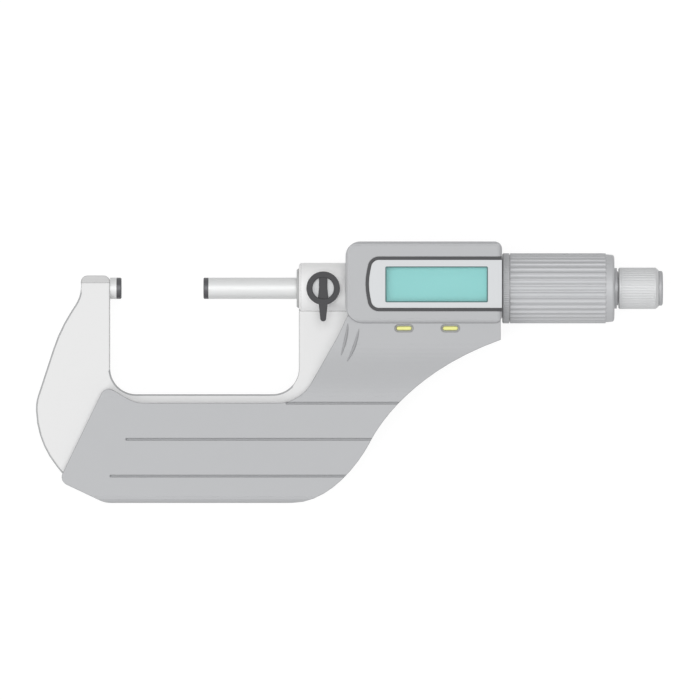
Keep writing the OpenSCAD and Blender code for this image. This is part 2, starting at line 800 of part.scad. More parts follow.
module ratchet_spring() {
    first = knob_x + 2 * fit + ratchet_disc_t + spring_wire_r;
    last = knob_end - knob_end_wall - fit - spring_wire_r;
    steps = spring_turns * spring_steps;
    color("#9fa0a2") loft([for (k = [0:steps]) let (a = 360 * k / spring_steps, x = first + (last - first) * k / steps)
        [for (j = [0:spring_sides - 1]) let (b = -360 * j / spring_sides, r = spring_r + spring_wire_r * cos(b))
            [x + spring_wire_r * sin(b), r * cos(a), r * sin(a)]]]);
}
module ratchet_knob() {
    r = knob_r;
    floor = knob_end - knob_recess;
    color("#cdced0") difference() {
        turned([[knob_x + slack, knob_bore_r], [knob_x + slack, r - lap], [knob_x + slack + lap, r], [knob_end - knob_chamfer, r],
            [knob_end, r - 0.8 * knob_chamfer], [knob_end, cap_spigot_r + fit], [floor, cap_spigot_r + fit],
            [floor, ratchet_screw_r + fit], [knob_end - knob_end_wall, ratchet_screw_r + fit],
            [knob_end - knob_end_wall, knob_bore_r]]);
        for (i = [0:knob_ribs - 1]) rotate([i * 360 / knob_ribs, 0, 0]) translate([0, 0, r - rib_depth + rib_r])
            rod(knob_x + 3 * lap, knob_end - knob_chamfer - lap, rib_r);
    }
}
module ratchet_cap() {
    r = cap_d / 2;
    top = knob_end + cap_w;
    color("#b4b5b7") turned([[knob_end + slack, 0], [knob_end + slack, cap_spigot_bore_r],
        [knob_end - knob_recess + slack, cap_spigot_bore_r], [knob_end - knob_recess + slack, cap_spigot_r],
        [knob_end + fit, cap_spigot_r], [knob_end + fit, r], [top - 0.4, r], [top - 0.1, r - 0.3],
        [top, r - 0.7], [top, 0]]);
}

// The bar across the lever's ring, and the slot that it sits in
function lever_bar(gap) = let (a = 1.2 + gap, b = 1.6 + gap) [[-a, 4], [a, 4], [a, 0], [b, -4], [-b, -4], [-a, 0]];
module lock_lever() {
    tip_y = -lever_reach + lever_tip_r;
    color("#57575a") translate([lock_x, 0, lever_low]) {
        linear_extrude(lever_t) difference() {
            union() {
                circle(d = lever_d);
                polygon([[-1.5, -lever_eye_r], [1.5, -lever_eye_r], [lever_tip_r, tip_y], [-lever_tip_r, tip_y]]);
                translate([0, tip_y]) circle(r = lever_tip_r);
            }
            circle(r = lever_eye_r);
        }
        translate([0, 0, lever_bar_t]) linear_extrude(lever_bar_t) intersection() {
            polygon(lever_bar(0));
            circle(r = lever_eye_r + lap);
        }
    }
}
module lock_bolt() {
    color("#c9cacc") translate([lock_x, 0, 0]) difference() {
        union() {
            translate([0, 0, lever_low]) cylinder(r = lever_eye_r - fit, h = bolt_head);
            translate([0, 0, shoe_top + fit]) cylinder(r = bolt_r, h = lever_low - shoe_top);
        }
        translate([0, 0, lever_low + bolt_slot]) linear_extrude(bolt_head) polygon(lever_bar(fit));
    }
}
module lock_shoe() {
    color("#c2a25a") difference() {
        post([lock_x, 0], spindle_r - shoe_dip, shoe_top, bolt_r);
        rod(lock_x - 2 * bolt_r, lock_x + 2 * bolt_r, spindle_r + fit);
    }
}

module battery_holder() {
    color("#2a2a2c") difference() {
        post(cell_at, cap_inside + slack, cell_top + holder_top, holder_r);
        post(cell_at, -back_depth, cell_top + leaf_t + leaf_rise + slack, cell_d / 2 + cell_gap);
        for (side = [-1, 1]) post(lead_at(side), -back_depth, cell_top + 2 * holder_top, lead_r + fit);
    }
}
module battery() {
    r = cell_d / 2;
    neck_r = r - cell_can;
    shoulder = cell_h - cell_rim;
    color("#c8c9ca") translate([cell_at.x, cell_at.y, cell_top - cell_h]) rotate_extrude()
        polygon([[0, 0], [r - lap, 0], [r, lap], [r, shoulder - cell_rim], [r - cell_rim, shoulder], [neck_r, shoulder],
            [neck_r, cell_h], [0, cell_h]]);
}
module battery_spring() {
    color("#b08d57") translate([cell_at.x, cell_at.y, cell_top + fit]) rotate_extrude()
        polygon([[1.4, 0], [2, 0], [4.8, leaf_rise], [5.4, leaf_rise], [5.4, leaf_rise + leaf_t], [4.7, leaf_rise + leaf_t],
            [1.9, leaf_t], [1.4, leaf_t]]);
}
module battery_leads() {
    color("#b08d57") for (side = [-1, 1]) post(lead_at(side), cell_top - lead_down, board_top + lap, lead_r);
}
module battery_cap() {
    color("#a9aaac") difference() {
        union() {
            post(cell_at, -back_depth, cap_ledge - seal_t, cap_r - fit);
            post(cell_at, -back_depth, cap_inside - slack, cap_plug_r);
        }
        translate([cell_at.x, cell_at.y, -back_depth]) cube([cap_slot.x, cap_slot.y, 2 * cap_slot.z], center = true);
    }
}
module battery_cap_seal() {
    color("#2a2a2c") translate([cell_at.x, cell_at.y, cap_ledge - seal_t + 0.02]) difference() {
        cylinder(r = cap_r - slack, h = seal_t - 0.04);
        translate([0, 0, -overrun]) cylinder(r = cap_plug_r + fit, h = seal_t + 2 * overrun);
    }
}

frame();
anvil();
anvil_tip();
spindle_bush();
spindle_seal();
front_cover();
rear_cover();
cover_screws();
display_border();
display_panel();
display_window();
lcd();
contact_strips();
circuit_board();
board_screws();
button_switches();
button_left();
button_right();
rotor_bush();
rotor_disc();
rotor_key();
stator();
inner_sleeve();
graduated_sleeve();
adjusting_nut();
spindle();
spindle_tip();
thimble();
ratchet_hub();
ratchet_screw();
ratchet_disc();
ratchet_spring();
ratchet_knob();
ratchet_cap();
lock_lever();
lock_bolt();
lock_shoe();
battery_holder();
battery();
battery_spring();
battery_leads();
battery_cap();
battery_cap_seal();
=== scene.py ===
"""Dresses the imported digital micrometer: its finishes, rounded edges and fine pieces.

Lengths are written in millimetres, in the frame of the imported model, and become
metres where a mesh is made. X runs along the spindle towards the thimble, Y
towards the top of the display and Z out of the display.
"""

import logging
import math
from dataclasses import dataclass
from enum import Enum
from typing import Sequence, Union

import bmesh
import bpy
import numpy as np
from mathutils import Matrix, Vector


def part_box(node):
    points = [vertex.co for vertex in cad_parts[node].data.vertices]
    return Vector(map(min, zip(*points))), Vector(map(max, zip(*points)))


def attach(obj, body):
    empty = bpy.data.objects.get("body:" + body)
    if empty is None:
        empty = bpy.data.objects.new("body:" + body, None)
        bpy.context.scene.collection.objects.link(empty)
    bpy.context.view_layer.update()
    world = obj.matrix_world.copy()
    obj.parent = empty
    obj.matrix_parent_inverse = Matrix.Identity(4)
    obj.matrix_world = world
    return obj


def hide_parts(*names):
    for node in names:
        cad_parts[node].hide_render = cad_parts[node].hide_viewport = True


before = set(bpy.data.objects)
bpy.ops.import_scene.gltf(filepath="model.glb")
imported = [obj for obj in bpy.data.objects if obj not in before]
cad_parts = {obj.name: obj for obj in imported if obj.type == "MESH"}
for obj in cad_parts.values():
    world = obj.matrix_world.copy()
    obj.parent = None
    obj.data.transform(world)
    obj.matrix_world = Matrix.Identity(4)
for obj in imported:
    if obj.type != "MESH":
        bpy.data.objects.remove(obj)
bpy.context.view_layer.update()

log = logging.getLogger("micrometer")

Number = Union[float, int]
Colour = tuple[float, float, float]
Pair = tuple[float, float]
Owner = Union[bpy.types.Material, bpy.types.World]

# One millimetre, in metres, and the millimetres in a metre.
MM = 0.001
MM_IN_METRE = 1000
# Shares of the wander and of the fine marks in a finish's change of lightness.
WANDER_IN_COLOUR = 0.7
MARKS_IN_COLOUR = 0.3
# Share of a finish's roughness that stays the same, and what the marks and the wander can add.
ROUGH_BASE = 0.85
MARKS_IN_ROUGH = 0.2
WANDER_IN_ROUGH = 0.1
# How fast the edge tone comes up as an edge turns, its least strength, and what the wander adds to that.
# Where the tone is darker, it is painted shade.
EDGE_TONE_GAIN = 6
EDGE_TONE_LEAST = 0.7
EDGE_TONE_WANDER = 0.6
# Share of the fine marks' frequency that is left along their run.
DRAWN_OUT = 0.01
# How much each finer layer of a noise counts against the one before it.
NOISE_ROUGHNESS = 0.55
# Rays that round an edge's shading, and the roughness of a clear coat.
EDGE_SAMPLES = 4
COAT_ROUGHNESS = 0.12
# The farthest that copies of one corner lie apart, in mm.
SAME_POINT = 0.004
# The largest angle between faces of one plane, and the least at a sharp edge, in degrees.
SAME_PLANE = 0.4
SHARP = 28.0
# How near an edge has to lie to a plate's face to count as its edge, in mm.
AT_FACE = 0.01
# Number of faces across a rounding.
ROUNDING_STEPS = 3


def linear(colour: Colour) -> tuple[float, float, float, float]:
    """Turns a display colour of 0 to 255 a channel into the linear light a shader wants.

    Args:
        colour: Red, green and blue, 0 to 255.

    Returns:
        Linear red, green, blue and a full alpha.
    """
    share = np.asarray(colour, float) / 255
    light = np.where(share <= 0.04045, share / 12.92, ((share + 0.055) / 1.055) ** 2.4)
    return (*light.tolist(), 1.0)


@dataclass(frozen=True)
class Signal:
    """A number or vector that a shader socket carries, which Python's operators work on."""

    tree: bpy.types.NodeTree
    socket: bpy.types.NodeSocket

    def math(self, operation: str, *terms: Union["Signal", Number]) -> "Signal":
        """Adds one Math node over the terms.

        Args:
            operation: The node's operation.
            terms: Signals and numbers, in the order of the node's sockets.

        Returns:
            The node's result.
        """
        node = self.tree.nodes.new("ShaderNodeMath")
        node.operation = operation
        for slot, term in zip(node.inputs, terms):
            if isinstance(term, Signal):
                self.tree.links.new(term.socket, slot)
            else:
                slot.default_value = term
        return Signal(self.tree, node.outputs[0])

    def __add__(self, other: Union["Signal", Number]) -> "Signal":
        """Self plus other."""
        return self.math("ADD", self, other)

    def __radd__(self, other: Number) -> "Signal":
        """Other plus self."""
        return self.math("ADD", other, self)

    def __sub__(self, other: Union["Signal", Number]) -> "Signal":
        """Self minus other."""
        return self.math("SUBTRACT", self, other)

    def __rsub__(self, other: Number) -> "Signal":
        """Other minus self."""
        return self.math("SUBTRACT", other, self)

    def __mul__(self, other: Union["Signal", Number]) -> "Signal":
        """Self times other."""
        return self.math("MULTIPLY", self, other)

    def __rmul__(self, other: Number) -> "Signal":
        """Other times self."""
        return self.math("MULTIPLY", other, self)

    def clipped(self) -> "Signal":
        """Self, held between 0 and 1."""
        return self.math("MINIMUM", self.math("MAXIMUM", self, 0.0), 1.0)


class Graph:
    """The node tree of a material or of the world, written as expressions."""

    def __init__(self, owner: Owner) -> None:
        """Empties the owner's tree.

        Args:
            owner: The material or the world.
        """
        owner.use_nodes = True
        self.output = "ShaderNodeOutputMaterial"
        if isinstance(owner, bpy.types.World):
            self.output = "ShaderNodeOutputWorld"
        self.tree = owner.node_tree
        self.tree.nodes.clear()

    def node(self, kind: str, settings: dict | None = None, inputs: dict | None = None) -> bpy.types.Node:
        """Makes any node.

        Args:
            kind: The node's type.
            settings: Its properties, set first.
            inputs: Values or signals for its sockets, by name or number.

        Returns:
            The node.
        """
        node = self.tree.nodes.new(kind)
        for key, value in (settings or {}).items():
            setattr(node, key, value)
        for key, value in (inputs or {}).items():
            if isinstance(value, Signal):
                self.tree.links.new(value.socket, node.inputs[key])
            else:
                node.inputs[key].default_value = value
        return node

    def take(self, node: bpy.types.Node, output: Union[str, int] = 0) -> Signal:
        """One output of a node, as a signal."""
        return Signal(self.tree, node.outputs[output])

    def place(self) -> Signal:
        """The point on the piece, in its own coordinates, in metres."""
        return self.take(self.node("ShaderNodeTexCoord"), "Object")

    def stretched(self, vector: Signal, scale: tuple[float, float, float]) -> Signal:
        """The vector with each of its parts multiplied by its own scale."""
        return self.take(self.node("ShaderNodeVectorMath", {"operation": "MULTIPLY"}, {0: vector, 1: scale}))

    def noise(self, vector: Signal, scale: float, detail: float = 2.0) -> Signal:
        """A soft random value of 0 to 1 at the point."""
        inputs = {"Vector": vector, "Scale": scale, "Detail": detail, "Roughness": NOISE_ROUGHNESS}
        return self.take(self.node("ShaderNodeTexNoise", None, inputs))

    def tinted(self, factor: Signal, first: Union[Signal, Sequence[float]],
               second: Sequence[float]) -> Signal:
        """Mixes two colours.

        Args:
            factor: 0 for the first colour, 1 for the second.
            first: A colour, as a signal or as linear red, green, blue and alpha.
            second: Linear red, green, blue and alpha.

        Returns:
            The mixed colour.
        """
        start = first if isinstance(first, Signal) else tuple(first)
        node = self.node("ShaderNodeMix", {"data_type": "RGBA"}, {0: factor, 6: start, 7: tuple(second)})
        return self.take(node, 2)

    def finish(self, shader: Signal) -> None:
        """Ends the tree in the shader of a surface or of the world's light."""
        self.node(self.output, None, {"Surface": shader})


class Grain(Enum):
    """How a surface was made, which says the way its fine marks run."""

    CAST = "even in all directions"
    TURNED = "rings round the X axis"
    DRAWN = "lines along the X axis"
    FACED = "rings round a Z axis"


@dataclass(frozen=True)
class Finish:
    """A surface finish: its colour, gloss and the fine marks of how it was made.

    Attributes:
        slot: The record's material slot.
        colour: Display colour, 0 to 255 a channel.
        roughness: Middle roughness.
        metallic: 0 for paint and plastic, 1 for bare metal.
        grain: The way the fine marks run.
        grain_size: Size of the marks, in mm.
        grain_depth: Depth of the marks, in mm.
        mottle: Share by which the lightness wanders.
        mottle_size: Size of the wander, in mm.
        specular: Strength of the gloss.
        coat: Weight of a clear coat.
        edge_radius: Radius to which the shading rounds an edge, in mm.
        edge_tone_and_shade: Share by which rounded edges are lighter, or darker if negative: painted shade
            that outlines each edge.
    """

    slot: str
    colour: Colour
    roughness: float = 0.45
    metallic: float = 0.0
    grain: Grain = Grain.CAST
    grain_size: float = 0.3
    grain_depth: float = 0.004
    mottle: float = 0.04
    mottle_size: float = 7.0
    specular: float = 0.5
    coat: float = 0.0
    edge_radius: float = 0.12
    edge_tone_and_shade: float = 0.0

    def marks(self, graph: Graph, place: Signal, centre: Pair) -> Signal:
        """The height of the fine marks at the point, 0 to 1.

        Args:
            graph: The material's tree.
            place: The point on the piece.
            centre: Where the Z axis of a faced surface stands, in mm.

        Returns:
            The height.
        """
        fine = MM_IN_METRE / self.grain_size
        if self.grain is Grain.TURNED:
            return graph.noise(graph.stretched(place, (1, DRAWN_OUT, DRAWN_OUT)), fine, 3)
        if self.grain is Grain.DRAWN:
            return graph.noise(graph.stretched(place, (DRAWN_OUT, 1, 1)), fine, 3)
        if self.grain is Grain.FACED:
            flat = graph.stretched(place, (1, 1, 0))
            middle = (centre[0] * MM, centre[1] * MM, 0)
            away = graph.node("ShaderNodeVectorMath", {"operation": "DISTANCE"}, {0: flat, 1: middle})
            rings = graph.node("ShaderNodeCombineXYZ", None, {"X": graph.take(away, "Value")})
            return graph.noise(graph.take(rings), fine, 3)
        return graph.noise(place, fine)

    def material(self, name: str, centre: Pair = (0, 0)) -> bpy.types.Material:
        """Builds the finish as a node material.

        Args:
            name: The material's name.
            centre: Where the Z axis of a faced surface stands, in mm.

        Returns:
            The material.
        """
        material = bpy.data.materials.new(name)
        graph = Graph(material)
        place = graph.place()
        marks = self.marks(graph, place, centre)
        wander = graph.noise(place, MM_IN_METRE / self.mottle_size, 3)
        plain = np.array(linear(self.colour))
        low = plain * (1 - self.mottle)
        high = plain * (1 + self.mottle)
        low[3] = high[3] = 1
        lightness = (wander * WANDER_IN_COLOUR + marks * MARKS_IN_COLOUR).clipped()
        colour = graph.tinted(lightness, low, np.minimum(high, 1))
        rounded = graph.node("ShaderNodeBevel", {"samples": EDGE_SAMPLES}, {"Radius": self.edge_radius * MM})
        normal = graph.take(rounded)
        # Rounded edges change tone: lighter for a positive share, and darker for a negative one, which is
        # painted shade that outlines each edge.
        if self.edge_tone_and_shade:
            straight = graph.take(graph.node("ShaderNodeNewGeometry"), "Normal")
            turn = graph.node("ShaderNodeVectorMath", {"operation": "DOT_PRODUCT"}, {0: normal, 1: straight})
            edge = (1 - graph.take(turn, "Value")) * EDGE_TONE_GAIN * (wander * EDGE_TONE_WANDER + EDGE_TONE_LEAST)
            edge_tone_colour = plain * (1 + self.edge_tone_and_shade)
            edge_tone_colour[3] = 1
            colour = graph.tinted(edge.clipped(), colour, np.minimum(edge_tone_colour, 1))
        bump = graph.node("ShaderNodeBump", None, {
            "Strength": 1.0, "Distance": self.grain_depth * MM, "Height": marks, "Normal": normal})
        rough = (self.roughness * ROUGH_BASE + marks * self.roughness * MARKS_IN_ROUGH
                 + wander * self.roughness * WANDER_IN_ROUGH).clipped()
        shader = graph.node("ShaderNodeBsdfPrincipled", None, {
            "Base Color": colour, "Metallic": self.metallic, "Roughness": rough,
            "Specular IOR Level": self.specular, "Coat Weight": self.coat, "Coat Roughness": COAT_ROUGHNESS,
            "Normal": graph.take(bump)})
        graph.finish(graph.take(shader))
        return material


# A negative edge share below darkens a finish's rounded edges: painted shade that outlines the frame, the
# covers, the thimble, the knob, the cap and the buttons.
ENAMEL = Finish("frame_paint", (224, 224, 224), 0.4, grain_size=0.9, grain_depth=0.004, mottle=0.01,
                mottle_size=12, edge_radius=0.65, edge_tone_and_shade=-0.65)
# A lighter copy of the frame's enamel: painted light on the turned hub, offsetting the shade that the housing
# and the lever cast on it.
HUB_PAINTED_LIGHT = Finish("frame_paint", (246, 246, 246), 0.4, grain_size=0.9, grain_depth=0.004, mottle=0.01,
                    mottle_size=12, edge_radius=0.5, edge_tone_and_shade=-0.6)
# A darker copy of the frame's enamel for its rounded edges: painted shade that outlines the frame.
RIM_PAINTED_SHADE = Finish("frame_paint", (172, 173, 174), 0.45, grain_size=0.9, grain_depth=0.004, mottle=0.03)
MOULDED = Finish("cover_plastic", (187, 188, 190), 0.55, grain_size=0.22, grain_depth=0.008, mottle=0.025,
                 mottle_size=9, specular=0.3, edge_radius=0.36, edge_tone_and_shade=-0.5)
# A darker copy of the cover plastic for the creases: painted shade along each fold.
CREASE_PAINTED_SHADE = Finish("cover_plastic", (164, 165, 167), 0.55, grain_size=0.22, grain_depth=0.006, mottle=0.03,
                specular=0.2)
GROUND = Finish("steel", (224, 225, 225), 0.45, 0.15, Grain.TURNED, 0.05, 0.0004, 0.015, 5)
TIP = Finish("carbide", (84, 84, 87), 0.4, 0.4, Grain.CAST, 0.05, 0.001, 0.1, 2, edge_tone_and_shade=0.3)
SATIN = Finish("satin_chrome", (190, 191, 193), 0.5, 0.2, Grain.DRAWN, 0.12, 0.002, 0.04, 6, specular=0.35,
               edge_radius=0.14, edge_tone_and_shade=-0.4)
KNURL = Finish("satin_chrome", (186, 187, 189), 0.5, 0.2, Grain.DRAWN, 0.12, 0.002, 0.04, 6, specular=0.35,
               edge_radius=0.03)
KNOB = Finish("satin_chrome", (212, 213, 214), 0.5, 0.2, Grain.DRAWN, 0.12, 0.001, 0.03, 6, specular=0.3,
              edge_radius=0.12, edge_tone_and_shade=-0.35)
SATIN_TURNED = Finish("satin_chrome", (184, 185, 187), 0.45, 0.3, Grain.TURNED, 0.09, 0.0012, 0.04, 6)
CAP_TURNED = Finish("satin_chrome", (178, 179, 181), 0.5, 0.2, Grain.TURNED, 0.08, 0.0012, 0.04, 5,
                    specular=0.35, edge_radius=0.2, edge_tone_and_shade=-0.2)
SCREW = Finish("screw_steel", (150, 151, 153), 0.38, 0.8, Grain.CAST, 0.12, 0.002, 0.08, 1.5)
CAP_FACED = Finish("cap_steel", (172, 173, 175), 0.42, 0.5, Grain.FACED, 0.14, 0.002, 0.05, 5)
BOLT = Finish("steel", (190, 191, 192), 0.5, 0.25, Grain.FACED, 0.3, 0.012, 0.14, 1.2, specular=0.3)
BRASS = Finish("brass", (196, 168, 112), 0.3, 0.9, Grain.TURNED, 0.1, 0.0015, 0.06, 4)
DARK = Finish("dark_plastic", (78, 78, 80), 0.42, grain_size=0.2, grain_depth=0.004, mottle=0.08,
              mottle_size=3)
BORDER = Finish("dark_plastic", (76, 76, 78), 0.5, grain_size=0.25, grain_depth=0.003, mottle=0.06,
                mottle_size=4, specular=0.25, edge_radius=0.3, edge_tone_and_shade=0.25)
PANEL = Finish("panel_plastic", (217, 219, 221), 0.45, 0.0, Grain.DRAWN, 0.08, 0.0008, 0.02, 9,
               specular=0.2)
# Dark edge round the display window: painted shade along the window's rim.
WINDOW_EDGE_SHADE = Finish("dark_plastic", (92, 122, 122), 0.45, grain_size=0.2, grain_depth=0.002, mottle=0.05,
                     specular=0.2, edge_radius=0.03)
MARKS = Finish("dark_plastic", (48, 48, 50), 0.5, grain_size=0.1, grain_depth=0.0005, mottle=0.1,
               mottle_size=1, specular=0.2, edge_radius=0.02)
# The buttons' darkened edges are painted shade, which leaves a thin bright core.
BUTTON = Finish("button_plastic", (238, 238, 150), 0.4, grain_size=0.15, grain_depth=0.002, mottle=0.03,
                mottle_size=1.5, specular=0.3, coat=0.1, edge_radius=0.4, edge_tone_and_shade=-0.5)
BOARD = Finish("board_resin", (58, 118, 84), 0.3, grain_size=0.5, grain_depth=0.004, mottle=0.12,
               mottle_size=3, coat=0.4)
RUBBER = Finish("seal_rubber", (186, 187, 187), 0.55, grain_size=0.15, grain_depth=0.003, mottle=0.04)
LEVER = Finish("lever_paint", (70, 70, 72), 0.5, grain_size=0.4, grain_depth=0.004, mottle=0.08,
               mottle_size=3, specular=0.2, edge_radius=0.35, edge_tone_and_shade=0.2)


def put_on(node: str, material: bpy.types.Material) -> None:
    """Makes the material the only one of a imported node.

    Args:
        node: The node's name.
        material: Its material.
    """
    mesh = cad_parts[node].data
    mesh.materials.clear()
    mesh.materials.append(material)
    log.info("dressed %s", node)


def dress(finish: Finish, *nodes: str, centre: Pair = (0, 0)) -> None:
    """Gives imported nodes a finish.

    Args:
        finish: Their finish.
        nodes: The nodes' names.
        centre: Where the Z axis of a faced surface stands, in mm.
    """
    for node in nodes:
        put_on(node, finish.material(node + "_finish", centre))


def new_piece(name: str, vertices: np.ndarray, faces: np.ndarray, material: bpy.types.Material,
              body: str, caps: Sequence[list[int]] = ()) -> bpy.types.Object:
    """Puts arrays into a mesh object that rides on a body.

    Args:
        name: The piece's name.
        vertices: Points in mm, one row each.
        faces: Corner numbers, one row a face.
        material: The piece's material.
        body: The body it rides on.
        caps: More faces, of any number of corners, such as those that close an end.

    Returns:
        The object, at the origin, with its place in its mesh.
    """
    points = np.asarray(vertices, float) * MM
    mesh = bpy.data.meshes.new(name)
    mesh.from_pydata(points.tolist(), [], [*np.asarray(faces, int).tolist(), *caps])
    mesh.validate()
    mesh.update()
    mesh.materials.append(material)
    piece = bpy.data.objects.new(name, mesh)
    bpy.context.scene.collection.objects.link(piece)
    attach(piece, body)
    log.info("built %s with %d faces on %s", name, len(mesh.polygons), body)
    return piece


def grid_faces(rows: int, columns: int, close_rows: bool = False, close_columns: bool = False) -> np.ndarray:
    """Faces of a grid of points numbered row by row: each face joins four neighbours.

    Args:
        rows: Number of rows.
        columns: Number of points in a row.
        close_rows: Whether the last row joins the first.
        close_columns: Whether each row's last point joins its first.

    Returns:
        One row of four corner numbers a face.
    """
    i = np.arange(rows if close_rows else rows - 1)[:, None]
    j = np.arange(columns if close_columns else columns - 1)[None, :]
    below = (i + 1) % rows
    right = (j + 1) % columns
    corners = [i * columns + j, i * columns + right, below * columns + right, below * columns + j]
    return np.stack(corners, -1).reshape(-1, 4)


def softened(node: str, finish: Finish, rim: Finish, body: str, width: float, face_z: float,
             inside: Sequence[float]) -> bpy.types.Object:
    """Makes a copy of a packed plate with the edges of its faces rounded, which stands for it.

    The copy's loose triangles are merged and its flat regions joined. A Bevel modifier
    rounds each sharp edge that lies at the given height above or below the middle and
    within the given rectangle. Stored normals are dropped, since the new edges change them.

    Args:
        node: The node's name.
        finish: The finish of the copy.
        rim: The finish of the rounding itself; the frame's is darker, painted shade along its edges.
        body: The body it rides on.
        width: Radius of the rounding, in mm.
        face_z: Half the plate's thickness, in mm.
        inside: Lowest x, highest x, lowest y and highest y of what is rounded, in mm.

    Returns:
        The new piece.
    """
    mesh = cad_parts[node].data.copy()
    if "custom_normal" in mesh.attributes:
        mesh.attributes.remove(mesh.attributes["custom_normal"])
    shape = bmesh.new()
    shape.from_mesh(mesh)
    bmesh.ops.remove_doubles(shape, verts=shape.verts, dist=SAME_POINT * MM)
    bmesh.ops.dissolve_limit(
        shape, angle_limit=math.radians(SAME_PLANE), verts=shape.verts, edges=shape.edges)
    bmesh.ops.recalc_face_normals(shape, faces=shape.faces)
    shape.to_mesh(mesh)
    shape.free()
    mesh.shade_smooth()
    mesh.set_sharp_from_angle(angle=math.radians(SHARP))
    sharp = np.empty(len(mesh.edges), bool)
    mesh.attributes["sharp_edge"].data.foreach_get("value", sharp)
    ends = np.empty(len(mesh.edges) * 2, np.int32)
    mesh.edges.foreach_get("vertices", ends)
    points = np.empty(len(mesh.vertices) * 3, np.float32)
    mesh.vertices.foreach_get("co", points)
    x, y, z = (points.reshape(-1, 3)[ends].reshape(-1, 2, 3) / MM).transpose(2, 0, 1)
    chosen = sharp & (abs(abs(z) - face_z) < AT_FACE).all(1)
    chosen &= ((x > inside[0]) & (x < inside[1]) & (y > inside[2]) & (y < inside[3])).all(1)
    weight = mesh.attributes.new("bevel_weight_edge", "FLOAT", "EDGE")
    weight.data.foreach_set("value", chosen.astype(np.float32))
    mesh.materials.clear()
    mesh.materials.append(finish.material(node + "_finish"))
    mesh.materials.append(rim.material(node + "_rim_finish"))
    piece = bpy.data.objects.new(node + "_rounded", mesh)
    bpy.context.scene.collection.objects.link(piece)
    bevel = piece.modifiers.new("rounding", "BEVEL")
    bevel.limit_method = "WEIGHT"
    bevel.width = width * MM
    bevel.segments = ROUNDING_STEPS
    bevel.material = 1
    bevel.use_clamp_overlap = False
    bevel.harden_normals = True
    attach(piece, body)
    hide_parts(node)
    log.info("rounded %d edges of %s by %.2f mm", int(chosen.sum()), node, width)
    return piece


def swept(path: np.ndarray, across: np.ndarray, up: np.ndarray, profile: np.ndarray,
          closed: bool) -> tuple[np.ndarray, np.ndarray]:
    """Carries a closed profile along a path.

    The point of row i and column j is path[i] + profile[j, 0] * across[i] + profile[j, 1] * up[i].

    Args:
        path: Points of the path, one row each.
        across: The profile's first direction at each point.
        up: The profile's second direction at each point.
        profile: The profile's own points, for each row or for all rows, two numbers each.
        closed: Whether the path's end joins its start. If not, its two ends are left open.

    Returns:
        The points and the faces.
    """
    profile = np.broadcast_to(profile, (len(path), *profile.shape[-2:]))
    points = path[:, None] + profile[..., :1] * across[:, None] + profile[..., 1:] * up[:, None]
    return points.reshape(-1, 3), grid_faces(len(path), profile.shape[1], closed, True)


@dataclass
class FrameArm:
    """The enamelled frame with the anvil and the spindle's guide.

    Attributes:
        body: The body that carries them.
        edge: Radius of the frame's rounded edges.
        half_thick: Half the frame's thickness.
        rounded: Lowest x, highest x, lowest y and highest y of the edges that are rounded.
        hub_x: Where the turned hub starts and ends.
        hub_r: Least and largest distance of the hub's faces from the X axis.
    """

    body: str = "frame_and_display"
    edge: float = 0.5
    half_thick: float = 3.5
    rounded: tuple[float, float, float, float] = (-27.0, 53.0, -66.0, 1.0)
    hub_x: Pair = (52.9, 84.0)
    hub_r: Pair = (6.9, 8.2)

    def paint_light_on_hub(self, mesh: bpy.types.Mesh) -> None:
        """Paints light on the turned hub: a lighter copy of its enamel, offsetting the shade that the housing
        and the lever cast, on the faces at its radius from the X axis.

        Args:
            mesh: The frame's mesh.
        """
        middle = np.empty(len(mesh.polygons) * 3, np.float32)
        mesh.polygons.foreach_get("center", middle)
        x, y, z = middle.reshape(-1, 3).T / MM
        slot = np.empty(len(x), np.int32)
        mesh.polygons.foreach_get("material_index", slot)
        away = np.hypot(y, z)
        hub = (x > self.hub_x[0]) & (x < self.hub_x[1]) & (away > self.hub_r[0]) & (away < self.hub_r[1])
        mesh.materials.append(HUB_PAINTED_LIGHT.material("hub_painted_light_finish"))
        slot[hub] = len(mesh.materials) - 1
        mesh.polygons.foreach_set("material_index", slot)
        log.info("painted %d faces of the hub", int(hub.sum()))

    def build(self) -> None:
        """Rounds the frame's edges with a darker rounding, which is painted shade, paints light on the hub,
        and dresses what is set in it.
        """
        piece = softened("frame", ENAMEL, RIM_PAINTED_SHADE, self.body, self.edge, self.half_thick, self.rounded)
        self.paint_light_on_hub(piece.data)
        dress(GROUND, "anvil")
        dress(TIP, "anvil_tip")
        dress(BRASS, "spindle_bush")
        dress(RUBBER, "spindle_seal")


